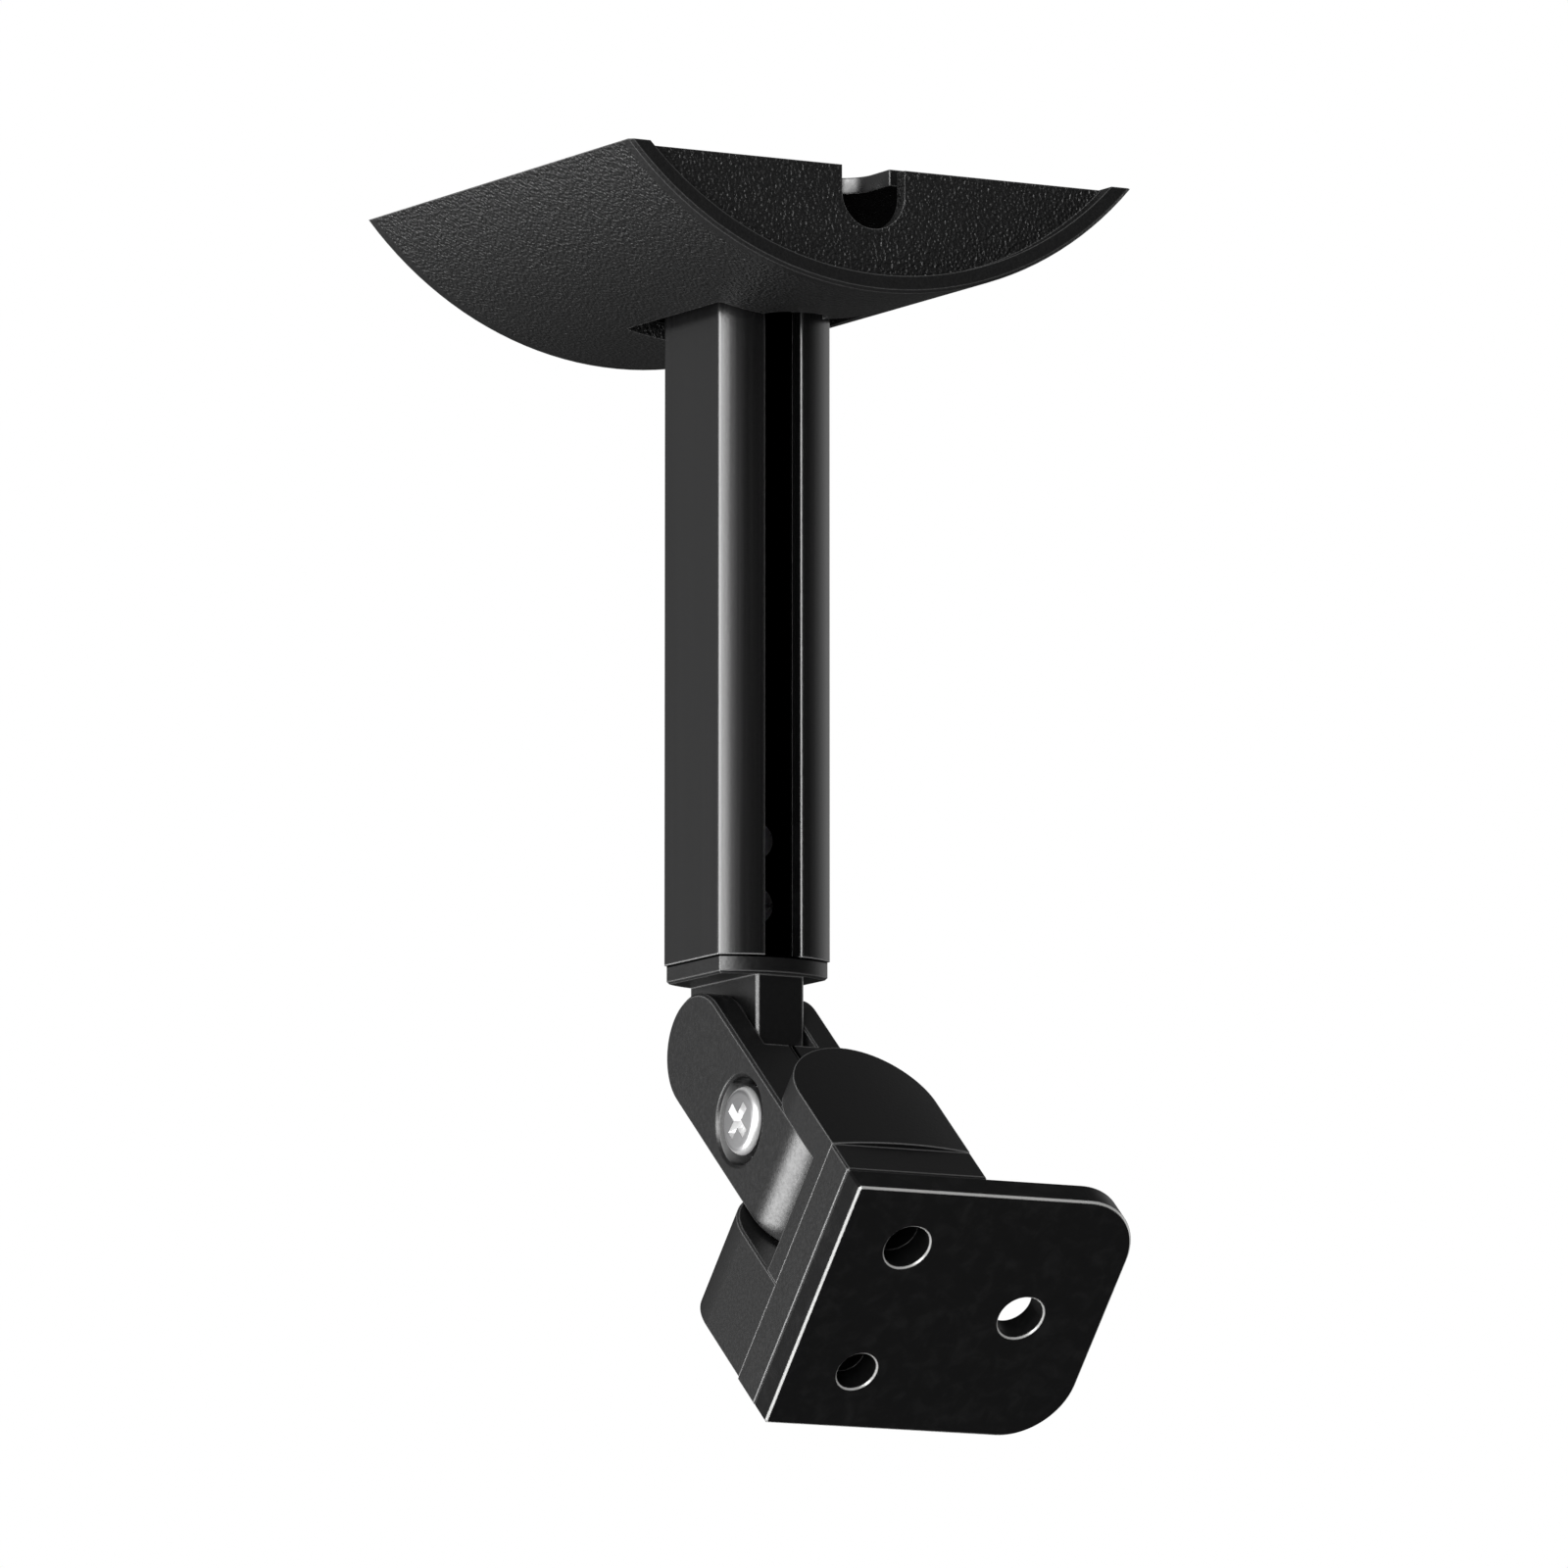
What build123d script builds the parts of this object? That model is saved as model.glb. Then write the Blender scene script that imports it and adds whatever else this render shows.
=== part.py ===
from build123d import *
import os

# Bracket for a small loudspeaker, fixed to a ceiling or a wall. The fixing face lies in the
# plane Z = 0 with the arm's centre line on the Z axis, and the arm hangs down from it.
# X runs across the arm's two flats. The cable side of the arm faces -Y.

# Cover: a moulded trough, part of a cylinder along Y, that hides the base plate
COVER_WIDTH = 70.5
COVER_LENGTH = 66.5
COVER_DEPTH = 15.8
COVER_WALL = 2.1
COVER_EDGE = 0.4
RIM_GAP = 0.5
RIM_RECESS = 2.3
RIM_STEP = 0.15
END_WALL = 1.8
CABLE_NOTCH_WIDTH = 8.8
CABLE_NOTCH_DEPTH = 7.7
OPENING_SIDE_GAP = 2.45
OPENING_FRONT_GAP = 2.1
OPENING_BACK_GAP = 2.8
OPENING_CORNER = 0.5
CABLE_NICK_RADIUS = 4.1

# Base plate: pressed steel, with four turned-down tabs whose ridges grip the cover's end walls
PLATE_WIDTH = 52.6
PLATE_END_GAP = 1.55
PLATE_THICKNESS = 2.0
PLATE_CORNER = 5.0
FIXING_HOLE_RADIUS = 2.4
FIXING_SPACING_X = 38.0
FIXING_SPACING_Y = 36.0
PLATE_NOTCH_WIDTH = 8.4
PLATE_NOTCH_DEPTH = 8.6
TAB_WIDTH = 8.0
TAB_DROP = 9.0
TAB_SPACING = 30.0
TAB_ROOT = 0.6
TAB_BEND_RADIUS = 1.8
RIDGE_HEIGHT = 4.8
RIDGE_TIP = 2.4
RIDGE_MARGIN = 0.6
RIDGE_GRIP_GAP = 0.2

# Arm: one extrusion with two flats, two rounded faces, a cable channel and two screw ports
ARM_WIDTH = 15.8
ARM_FLAT = 13.4
ARM_DEPTH = 18.6
ARM_LENGTH = 92.8
ARM_CORNER = 0.45
ARM_SIDE_WALL = 2.1
ARM_BACK_WALL = 2.0
SLOT_WIDTH = 4.9
SLOT_LIP = 2.5
SLOT_EDGE = 0.3
CHANNEL_DEPTH = 6.0
INNER_WEB = 1.6
PORT_RADIUS = 1.4
PORT_WALL = 1.2
PORT_SPACING = 10.2
PORT_DEPTH = 3.1

# Cap: casting that plugs the arm's lower end, with the lug of the tilt joint
CAP_THICKNESS = 2.3
CAP_INSET = 0.3
CAP_EDGE = 0.3
SPIGOT_LENGTH = 22.0
SPIGOT_GAP = 0.15
LUG_WIDTH = 6.7
LUG_RADIUS = 8.3
LUG_EDGE = 0.3
LUG_DROP = 9.1

# Joint: two mirrored halves hold the tilt pin above and the swivel pin below
KNUCKLE_WIDTH = 14.6
KNUCKLE_EDGE = 0.35
SEAM_GAP = 0.16
CHEEK_GAP = 0.25
SLOT_RADIUS = 10.9
SLOT_EDGE_BREAK = 0.2
PIN_RADIUS = 3.0
PIN_GAP = 0.04
PIN_COVER = 1.6
PIN_END_GAP = 0.1
CLAMP_DROP = 14.4
SWIVEL_DROP = 27.5
TONGUE_SETBACK = 2.6
TILT_ANGLE = 49.0
WASHER_GAP = 0.02
TILT_WASHER_RADIUS = 7.1
SWIVEL_WASHER_RADIUS = 4.6

# Clamp screw: pan head with a cross recess, plain washer and nut
CLAMP_RADIUS = 2.0
CLAMP_HOLE_GAP = 0.25
CLAMP_HEAD_RADIUS = 4.25
CLAMP_HEAD_HEIGHT = 3.0
CLAMP_HEAD_CROWN = 1.35
CLAMP_HEAD_TOP_RADIUS = 2.7
CLAMP_SCREW_TURN = 20.0
CLAMP_HEAD_SINK = 0.1
CLAMP_BORE_RADIUS = 5.45
CLAMP_BORE_EDGE = 0.35
CLAMP_WASHER_THICKNESS = 0.9
CLAMP_WASHER_RADIUS = 4.7
RECESS_WIDTH = 1.15
RECESS_SPAN = 4.8
RECESS_DEPTH = 1.7
NUT_FLATS = 7.0
NUT_HEIGHT = 3.2
NUT_SINK = 0.4
NUT_GAP = 0.05

# Yoke: casting with a thin upper and a deep lower arm, a web and a flange
YOKE_RADIUS = 9.55
YOKE_TOP_GAP = 1.8
YOKE_BOTTOM_GAP = 0.22
YOKE_TOP_ARM = 4.1
YOKE_TOP_CROWN = 0.6
YOKE_BOTTOM_ARM = 14.25
YOKE_WEB_GAP = 0.6
YOKE_WEB = 2.7
YOKE_EDGE = 0.4
YOKE_INNER_EDGE = 0.25
FLANGE_THICKNESS = 5.4
FLANGE_STEP = 0.15
FLANGE_EDGE = 0.25
BOTTOM_POCKET_RADIUS = 4.6
BOTTOM_POCKET_DEPTH = 6.5
SPRING_THICKNESS = 0.6
SPRING_RADIUS = 4.6
BLIND_HOLE_DEPTH = 6.5

# Speaker plate, screwed to the flange from the slot between the yoke's arms
SPEAKER_PLATE_WIDTH = 40.5
SPEAKER_PLATE_THICKNESS = 3.7
SPEAKER_PLATE_CORNER = 8.2
SPEAKER_PLATE_EDGE = 0.3
SPEAKER_HOLE_RADIUS = 2.95
SPEAKER_LOWER_HOLE_RADIUS = 2.55
SPEAKER_HOLE_SPACING = 18.4
SPEAKER_SIDE_HOLE = 19.4
SPEAKER_HOLE_EDGE = 0.25
PLATE_SCREW_SPACING = 10.0
PLATE_SCREW_GRIP = 2.6
PLATE_SCREW_END_GAP = 0.2

# Countersunk, self-tapping and small machine screws
CSK_RADIUS = 1.5
CSK_HEAD_RADIUS = 2.9
CSK_HEAD_HEIGHT = 1.5
TAPPING_RADIUS = 1.35
TAPPING_HEAD_RADIUS = 3.2
TAPPING_LENGTH = 17.0
CAP_SCREW_RADIUS = 1.25
CAP_SCREW_HEAD_RADIUS = 2.25
CAP_SCREW_HEAD_HEIGHT = 1.6
CAP_SCREW_END_GAP = 0.7
CAP_SCREW_SPACING = 8.0
CAP_SCREW_FOOT = 7.0
SCREW_HOLE_GAP = 0.1
CROSS_WIDTH = 0.8
CROSS_DEPTH_SHARE = 0.7

# Places that follow from the sizes above
COVER_RADIUS = (COVER_WIDTH**2 / 4 + COVER_DEPTH**2) / (2 * COVER_DEPTH)
WALL_INNER_Y = COVER_LENGTH / 2 - RIM_RECESS - END_WALL
PLATE_LENGTH = 2 * (WALL_INNER_Y - PLATE_END_GAP)
ARM_TOP = -PLATE_THICKNESS
ARM_BOTTOM = ARM_TOP - ARM_LENGTH
CAP_BOTTOM = ARM_BOTTOM - CAP_THICKNESS
TILT_Z = CAP_BOTTOM - LUG_DROP
KNUCKLE_HALF = KNUCKLE_WIDTH / 2
CHEEK_X = LUG_WIDTH / 2 + CHEEK_GAP
CLAMP_FLOOR_X = -KNUCKLE_HALF + CLAMP_HEAD_SINK + CLAMP_HEAD_HEIGHT + CLAMP_WASHER_THICKNESS
NUT_FLOOR_X = KNUCKLE_HALF - NUT_HEIGHT - NUT_SINK
CHANNEL_FRONT = -ARM_DEPTH / 2 + SLOT_LIP
CHANNEL_BACK = CHANNEL_FRONT + CHANNEL_DEPTH
BACK_ROOM = CHANNEL_BACK + INNER_WEB
PORT_Y = BACK_ROOM + PORT_DEPTH
CAP_SCREW_END = ARM_DEPTH / 2 - ARM_BACK_WALL - CAP_SCREW_END_GAP
YOKE_TOP_INNER = -KNUCKLE_HALF - YOKE_TOP_GAP
YOKE_TOP_OUTER = YOKE_TOP_INNER - YOKE_TOP_ARM
YOKE_BOTTOM_INNER = KNUCKLE_HALF + YOKE_BOTTOM_GAP
YOKE_BOTTOM_OUTER = YOKE_BOTTOM_INNER + YOKE_BOTTOM_ARM
WEB_Z = -(SWIVEL_DROP + KNUCKLE_HALF + YOKE_WEB_GAP)
FLANGE_BACK_Z = WEB_Z - YOKE_WEB
FLANGE_FRONT_Z = FLANGE_BACK_Z - FLANGE_THICKNESS
PLATE_FRONT_Z = FLANGE_FRONT_Z - SPEAKER_PLATE_THICKNESS
FLANGE_MIDDLE_Y = (YOKE_TOP_OUTER + YOKE_BOTTOM_OUTER) / 2
SLOT_MIDDLE_Y = (YOKE_TOP_INNER + YOKE_BOTTOM_INNER) / 2
FAR = 200.0
NEAR = 0.01
PAST = 1.0

# Directions in which round pieces are turned from the Z axis
ALONG_X = Rot(0, 90, 0)
ALONG_Y = Rot(-90, 0, 0)


def hang(piece):
    """Swings a joint piece, drawn hanging straight down, to its tilt in the photograph."""
    return Pos(0, 0, TILT_Z) * Rot(-TILT_ANGLE, 0, 0) * piece


def rod(radius, start, end):
    """Round bar along Z between two heights."""
    return Pos(0, 0, (start + end) / 2) * Cylinder(radius, abs(end - start))


def rod_x(radius, start, end, z=0.0):
    """Round bar along X at the height z."""
    return Pos(0, 0, z) * ALONG_X * rod(radius, start, end)


def rod_y(radius, start, end, z=0.0):
    """Round bar along Y at the height z."""
    return Pos(0, 0, z) * ALONG_Y * rod(radius, start, end)


def ring(outer, inner, start, end):
    """Flat washer along Z between two heights."""
    return rod(outer, start, end) - rod(inner, start - PAST, end + PAST)


def screw_hole(radius, head_radius, head_height, start, top):
    """Cutter for a screw whose flat head ends at the height top."""
    cone = Pos(0, 0, top - head_height / 2) * Cone(radius, head_radius, head_height)
    return rod(radius, start, top + PAST) + cone


def tapered_cross(span, width, depth):
    """Two crossed wedges that narrow towards their point."""
    wedge = Polyline((-span / 2, 0), (span / 2, 0), (width / 2, -depth), (-width / 2, -depth), close=True)
    blade = extrude(Plane.XZ * make_face(wedge), width / 2, both=True)
    return blade + Rot(0, 0, 90) * blade


def countersunk_screw(radius, head_radius, head_height, length):
    """Screw with its flat head in the plane Z = 0 and its shank below."""
    head = Pos(0, 0, -head_height / 2) * Cone(radius, head_radius, head_height)
    shank = rod(radius, -length, -head_height)
    return head + shank - tapered_cross(head_radius, CROSS_WIDTH, head_height * CROSS_DEPTH_SHARE)


def trough(piece, top):
    """Sets a piece turned about the Y axis on the cover's axis and keeps what hangs below a height."""
    room = Pos(0, 0, top - FAR / 2) * Box(FAR, FAR, FAR)
    return Pos(0, 0, COVER_RADIUS - COVER_DEPTH) * piece & room


def base_cover():
    """Round shell, sliced flat at the fixing face, with an end wall set in from each rim."""
    inner_radius = COVER_RADIUS - COVER_WALL
    outline = Pos(COVER_RADIUS / 2, 0) * Rectangle(COVER_RADIUS, COVER_LENGTH)
    outline = chamfer(outline.vertices().sort_by(Axis.X)[-2:], COVER_EDGE)
    outline -= Pos(inner_radius / 2, 0) * Rectangle(inner_radius, COVER_LENGTH + PAST)
    cover = trough(revolve(outline, Axis.Y), 0)
    wall = trough(rod_y(inner_radius + COVER_WALL / 2, -END_WALL / 2, END_WALL / 2), -RIM_STEP)
    wall_y = WALL_INNER_Y + END_WALL / 2
    cover += Pos(0, wall_y, 0) * wall
    cover += Pos(0, -wall_y, 0) * wall
    cover -= u_notch(CABLE_NOTCH_WIDTH, CABLE_NOTCH_DEPTH, wall_y)
    cover -= opening()
    return Pos(0, 0, -RIM_GAP) * cover


def u_notch(width, depth, wall_y):
    """Round-bottomed notch through the end wall on the cable side."""
    outline = Pos(0, -(depth - width / 2) / 2) * Rectangle(width, depth - width / 2)
    outline += Pos(0, PAST) * Rectangle(width, 2 * PAST)
    outline += Pos(0, -(depth - width / 2)) * Circle(width / 2)
    return Pos(0, -wall_y, 0) * extrude(Plane.XZ * outline, END_WALL, both=True)


def opening():
    """Hole for the arm, with a nick for the cable in its front edge."""
    width = ARM_WIDTH + 2 * OPENING_SIDE_GAP
    front = -ARM_DEPTH / 2 - OPENING_FRONT_GAP
    back = ARM_DEPTH / 2 + OPENING_BACK_GAP
    outline = Pos(0, (front + back) / 2) * Rectangle(width, back - front)
    outline = chamfer(outline.vertices(), OPENING_CORNER)
    outline += Pos(0, front) * Circle(CABLE_NICK_RADIUS)
    return Pos(0, 0, -COVER_DEPTH - PAST) * extrude(outline, COVER_DEPTH)


def base_plate():
    sheet = Pos(0, 0, -PLATE_THICKNESS / 2) * Box(PLATE_WIDTH, PLATE_LENGTH, PLATE_THICKNESS)
    sheet = fillet(sheet.edges().filter_by(Axis.Z), PLATE_CORNER)
    tab = grip_tab()
    for side in (-1, 1):
        place = Pos(side * TAB_SPACING / 2, 0, 0)
        sheet += place * tab
        sheet += place * mirror(tab, Plane.XZ)
    holes = GridLocations(FIXING_SPACING_X, FIXING_SPACING_Y, 2, 2)
    sheet -= holes * rod(FIXING_HOLE_RADIUS, -PLATE_THICKNESS - PAST, PAST)
    notch_round = PLATE_NOTCH_WIDTH / 2
    notch_y = -PLATE_LENGTH / 2 + PLATE_NOTCH_DEPTH - notch_round
    notch = Pos(0, notch_y) * Circle(notch_round)
    notch += Pos(0, notch_y - FAR / 2) * Rectangle(PLATE_NOTCH_WIDTH, FAR)
    sheet -= extrude(notch, PLATE_THICKNESS + PAST, both=True)
    hole = screw_hole(TAPPING_RADIUS, TAPPING_HEAD_RADIUS, PLATE_THICKNESS, -PLATE_THICKNESS - PAST, 0)
    for place in port_places():
        sheet -= place * hole
    return sheet


def grip_tab():
    """Turned-down tab at the far end of the plate, with a ridge pressed across its outer face."""
    end = PLATE_LENGTH / 2
    inner = end - PLATE_THICKNESS
    root = inner - TAB_ROOT
    outline = Polyline((root, 0), (end, 0), (end, -TAB_DROP), (inner, -TAB_DROP),
                       (inner, -PLATE_THICKNESS), (root, -PLATE_THICKNESS), close=True)
    tab = extrude(Plane.YZ * make_face(outline), TAB_WIDTH / 2, both=True)
    bend = [e for e in tab.edges().filter_by(Axis.X) if e.center().Y > end - NEAR and e.center().Z > -NEAR]
    tab = fillet(bend, min(TAB_BEND_RADIUS, PLATE_THICKNESS - NEAR))
    tip = WALL_INNER_Y - RIDGE_GRIP_GAP
    middle = -TAB_DROP + RIDGE_MARGIN + RIDGE_HEIGHT / 2
    ridge = Polyline((end, middle + RIDGE_HEIGHT / 2), (tip, middle + RIDGE_TIP / 2),
                     (tip, middle - RIDGE_TIP / 2), (end, middle - RIDGE_HEIGHT / 2), close=True)
    return tab + extrude(Plane.YZ * make_face(ridge), TAB_WIDTH / 2, both=True)


def port_places():
    """The arm's two screw ports, which the screws of the base plate go into."""
    return [Pos(side * PORT_SPACING / 2, PORT_Y, 0) for side in (-1, 1)]


def flats_and_arcs():
    """Outline of two flats joined by two shallow arcs, with sharp corners."""
    half, flat, deep = ARM_WIDTH / 2, ARM_FLAT / 2, ARM_DEPTH / 2
    edges = Line((half, -flat), (half, flat))
    edges += ThreePointArc((half, flat), (0, deep), (-half, flat))
    edges += Line((-half, flat), (-half, -flat))
    edges += ThreePointArc((-half, -flat), (0, -deep), (half, -flat))
    return make_face(edges)


def arm_outline():
    return fillet(flats_and_arcs().vertices(), ARM_CORNER)


def arm_section():
    outer = arm_outline()
    inner_width = ARM_WIDTH - 2 * ARM_SIDE_WALL
    channel_y = (CHANNEL_FRONT + CHANNEL_BACK) / 2
    channel = Pos(0, channel_y) * Rectangle(inner_width, CHANNEL_DEPTH)
    slot = Pos(0, CHANNEL_FRONT - ARM_DEPTH / 2 + PAST) * Rectangle(SLOT_WIDTH, ARM_DEPTH)
    back_room = offset(outer, -ARM_BACK_WALL)
    back_room &= Pos(0, BACK_ROOM + ARM_DEPTH / 2) * Rectangle(inner_width, ARM_DEPTH)
    section = outer - channel - slot - back_room
    for place in port_places():
        section += place * Circle(PORT_RADIUS + PORT_WALL) & outer
    for place in port_places():
        section -= place * Circle(PORT_RADIUS)
    front = section.vertices().filter_by(lambda v: v.Y < CHANNEL_FRONT - SLOT_LIP / 2)
    return fillet(front.sort_by(lambda v: abs(v.X))[:2], SLOT_EDGE)


def arm():
    body = Pos(0, 0, ARM_BOTTOM) * extrude(arm_section(), ARM_LENGTH)
    radius = CAP_SCREW_RADIUS + SCREW_HOLE_GAP
    for z in cap_screw_heights():
        body -= rod_y(radius, CHANNEL_BACK - INNER_WEB / 2, BACK_ROOM + INNER_WEB / 2, z)
    return body


def cap_screw_heights():
    """Heights of the two screws that hold the cap's spigot inside the arm."""
    first = ARM_BOTTOM + CAP_SCREW_FOOT
    return [first, first + CAP_SCREW_SPACING]


def arm_cap():
    rim = offset(flats_and_arcs(), -CAP_INSET)
    disc = Pos(0, 0, CAP_BOTTOM) * extrude(rim, CAP_THICKNESS)
    disc = chamfer(disc.faces().sort_by(Axis.Z)[0].edges(), CAP_EDGE)
    lug = Pos(0, 0, TILT_Z + LUG_DROP / 2) * Box(LUG_WIDTH, 2 * LUG_RADIUS, LUG_DROP)
    lug += rod_x(LUG_RADIUS, -LUG_WIDTH / 2, LUG_WIDTH / 2, TILT_Z)
    corners = lug.faces().filter_by(Axis.X).edges().filter_by(Axis.Z)
    lug = chamfer(corners, LUG_EDGE)
    lug -= rod_x(PIN_RADIUS + PIN_GAP, -LUG_WIDTH, LUG_WIDTH, TILT_Z)
    spigot_width = PORT_SPACING - 2 * (PORT_RADIUS + PORT_WALL) - 2 * SPIGOT_GAP
    section = Pos(0, BACK_ROOM + SPIGOT_GAP + ARM_DEPTH / 2) * Rectangle(spigot_width, ARM_DEPTH)
    section &= offset(arm_outline(), -ARM_BACK_WALL - SPIGOT_GAP)
    spigot = Pos(0, 0, ARM_BOTTOM) * extrude(section, SPIGOT_LENGTH)
    spigot = chamfer(spigot.faces().sort_by(Axis.Z)[-1].edges(), CAP_EDGE)
    for z in cap_screw_heights():
        spigot -= rod_y(CAP_SCREW_RADIUS, CHANNEL_BACK, ARM_DEPTH / 2, z)
    return disc + lug + spigot


def arm_screw(place):
    return place * countersunk_screw(TAPPING_RADIUS, TAPPING_HEAD_RADIUS, PLATE_THICKNESS, TAPPING_LENGTH)


def cap_screw(z):
    """Small pan head screw through the arm's inner web, set through the cable slot."""
    head = rod(CAP_SCREW_HEAD_RADIUS, 0, CAP_SCREW_HEAD_HEIGHT)
    recess = tapered_cross(CAP_SCREW_HEAD_RADIUS, CROSS_WIDTH, CAP_SCREW_HEAD_HEIGHT / 2)
    head -= Pos(0, 0, CAP_SCREW_HEAD_HEIGHT) * recess
    screw = head + rod(CAP_SCREW_RADIUS, CHANNEL_BACK - CAP_SCREW_END, 0)
    return Pos(0, CHANNEL_BACK, z) * Rot(90, 0, 0) * screw


def knuckle_body():
    """Both halves in one piece: round about the tilt pin above, round about the swivel pin below."""
    side = Pos(0, -SWIVEL_DROP / 2) * Rectangle(KNUCKLE_WIDTH, SWIVEL_DROP) + Circle(KNUCKLE_HALF)
    side += Pos(0, -SWIVEL_DROP) * Rectangle(KNUCKLE_WIDTH, KNUCKLE_WIDTH)
    round_middle = SWIVEL_DROP - TONGUE_SETBACK
    front = Pos(0, -round_middle / 2) * Rectangle(KNUCKLE_WIDTH, round_middle)
    front += Pos(0, -round_middle) * Circle(KNUCKLE_HALF) + Rectangle(KNUCKLE_WIDTH, KNUCKLE_WIDTH)
    body = extrude(Plane.YZ * side, KNUCKLE_HALF, both=True)
    body &= extrude(Plane.XZ * front, KNUCKLE_HALF, both=True)
    smooth = body.edges().filter_by(Axis.X) + body.edges().filter_by(Axis.Y)
    body = chamfer([e for e in body.edges() if e not in smooth], KNUCKLE_EDGE)
    body -= rod_x(SLOT_RADIUS, -CHEEK_X, CHEEK_X)
    cheeks = body.faces().filter_by(Axis.X).filter_by(lambda f: abs(abs(f.center().X) - CHEEK_X) < NEAR)
    mouth = [e for e in cheeks.edges() if e.center().Z > -KNUCKLE_HALF - NEAR]
    return chamfer(mouth, SLOT_EDGE_BREAK)


def knuckle_half(side):
    room = Box(FAR, FAR, FAR)
    half = knuckle_body() & Pos(side * (FAR / 2 + SEAM_GAP / 2), 0, 0) * room
    half -= rod_x(PIN_RADIUS, -KNUCKLE_HALF + PIN_COVER, KNUCKLE_HALF - PIN_COVER)
    half -= rod_y(PIN_RADIUS + PIN_GAP, -KNUCKLE_WIDTH, KNUCKLE_WIDTH, -SWIVEL_DROP)
    half -= rod_x(CLAMP_RADIUS + CLAMP_HOLE_GAP, -KNUCKLE_WIDTH, KNUCKLE_WIDTH, -CLAMP_DROP)
    if side < 0:
        half -= rod_x(CLAMP_BORE_RADIUS, -KNUCKLE_WIDTH, CLAMP_FLOOR_X, -CLAMP_DROP)
        rims = half.edges().filter_by(GeomType.CIRCLE)
        rims = rims.filter_by(lambda e: abs(e.radius - CLAMP_BORE_RADIUS) < NEAR)
        half = chamfer(rims.sort_by(Axis.X)[0], CLAMP_BORE_EDGE)
    else:
        hexagon = RegularPolygon(NUT_FLATS / 2 + NUT_GAP, 6, major_radius=False)
        pocket = extrude(hexagon, NUT_HEIGHT + NUT_SINK)
        half -= Pos(NUT_FLOOR_X, 0, -CLAMP_DROP) * ALONG_X * pocket
    return hang(half)


def clamp_screw():
    crown_start = CLAMP_HEAD_HEIGHT - CLAMP_HEAD_CROWN
    crown = Cone(CLAMP_HEAD_RADIUS, CLAMP_HEAD_TOP_RADIUS, CLAMP_HEAD_CROWN)
    head = rod(CLAMP_HEAD_RADIUS, 0, crown_start) + Pos(0, 0, crown_start + CLAMP_HEAD_CROWN / 2) * crown
    head -= Pos(0, 0, CLAMP_HEAD_HEIGHT) * tapered_cross(RECESS_SPAN, RECESS_WIDTH, RECESS_DEPTH)
    seat = CLAMP_FLOOR_X - CLAMP_WASHER_THICKNESS
    screw = head + rod(CLAMP_RADIUS, seat - KNUCKLE_HALF + NUT_SINK, 0)
    turned = Rot(0, -90, 0) * Rot(0, 0, CLAMP_SCREW_TURN) * screw
    return hang(Pos(seat, 0, -CLAMP_DROP) * turned)


def clamp_washer():
    washer = ring(CLAMP_WASHER_RADIUS, CLAMP_RADIUS, CLAMP_FLOOR_X - CLAMP_WASHER_THICKNESS, CLAMP_FLOOR_X)
    return hang(Pos(0, 0, -CLAMP_DROP) * ALONG_X * washer)


def clamp_nut():
    nut = extrude(RegularPolygon(NUT_FLATS / 2, 6, major_radius=False), NUT_HEIGHT)
    nut -= rod(CLAMP_RADIUS, -PAST, NUT_HEIGHT + PAST)
    return hang(Pos(NUT_FLOOR_X, 0, -CLAMP_DROP) * ALONG_X * nut)


def tilt_pin():
    reach = KNUCKLE_HALF - PIN_COVER - PIN_END_GAP
    return hang(rod_x(PIN_RADIUS, -reach, reach))


def tilt_washer(side):
    start = LUG_WIDTH / 2 + WASHER_GAP
    washer = ring(TILT_WASHER_RADIUS, PIN_RADIUS, start, CHEEK_X - WASHER_GAP)
    return hang(Rot(0, side * 90, 0) * washer)


def swivel_pin():
    start = YOKE_TOP_OUTER + PIN_COVER
    end = YOKE_BOTTOM_OUTER - BOTTOM_POCKET_DEPTH
    return hang(rod_y(PIN_RADIUS, start, end, -SWIVEL_DROP))


def swivel_washer():
    start = KNUCKLE_HALF + WASHER_GAP
    washer = ring(SWIVEL_WASHER_RADIUS, PIN_RADIUS, start, YOKE_BOTTOM_INNER - WASHER_GAP)
    return hang(Pos(0, 0, -SWIVEL_DROP) * ALONG_Y * washer)


def swivel_spring():
    """Dished spring washer between the joint's upper face and the yoke's thin arm."""
    start = YOKE_TOP_INNER + WASHER_GAP
    end = -KNUCKLE_HALF - WASHER_GAP
    inner = PIN_RADIUS + PIN_GAP
    outline = Polyline((inner, start), (SPRING_RADIUS, end - SPRING_THICKNESS), (SPRING_RADIUS, end),
                       (inner, start + SPRING_THICKNESS), close=True)
    washer = revolve(Plane.XZ * make_face(outline), Axis.Z)
    return hang(Pos(0, 0, -SWIVEL_DROP) * ALONG_Y * washer)


def yoke_arm_outline():
    """Round about the swivel pin, and as wide as that down to the flange."""
    arm_face = Pos(0, -SWIVEL_DROP) * Circle(YOKE_RADIUS)
    drop = -FLANGE_BACK_Z - SWIVEL_DROP
    arm_face += Pos(0, -SWIVEL_DROP - drop / 2) * Rectangle(2 * YOKE_RADIUS, drop)
    return Plane.XZ * arm_face


def slab_y(face, start, end):
    """Extrudes a face of the XZ plane between two places along Y."""
    return Pos(0, start, 0) * extrude(face, start - end)


def top_arm():
    """Thin arm over the joint, its outer face slightly crowned from side to side."""
    crown_radius = (YOKE_RADIUS**2 + YOKE_TOP_CROWN**2) / (2 * YOKE_TOP_CROWN)
    crown_top = YOKE_TOP_OUTER - YOKE_TOP_CROWN
    slab = slab_y(yoke_arm_outline(), crown_top, YOKE_TOP_INNER)
    return slab & Pos(0, crown_top + crown_radius, 0) * rod(crown_radius, -FAR, FAR)


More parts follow.
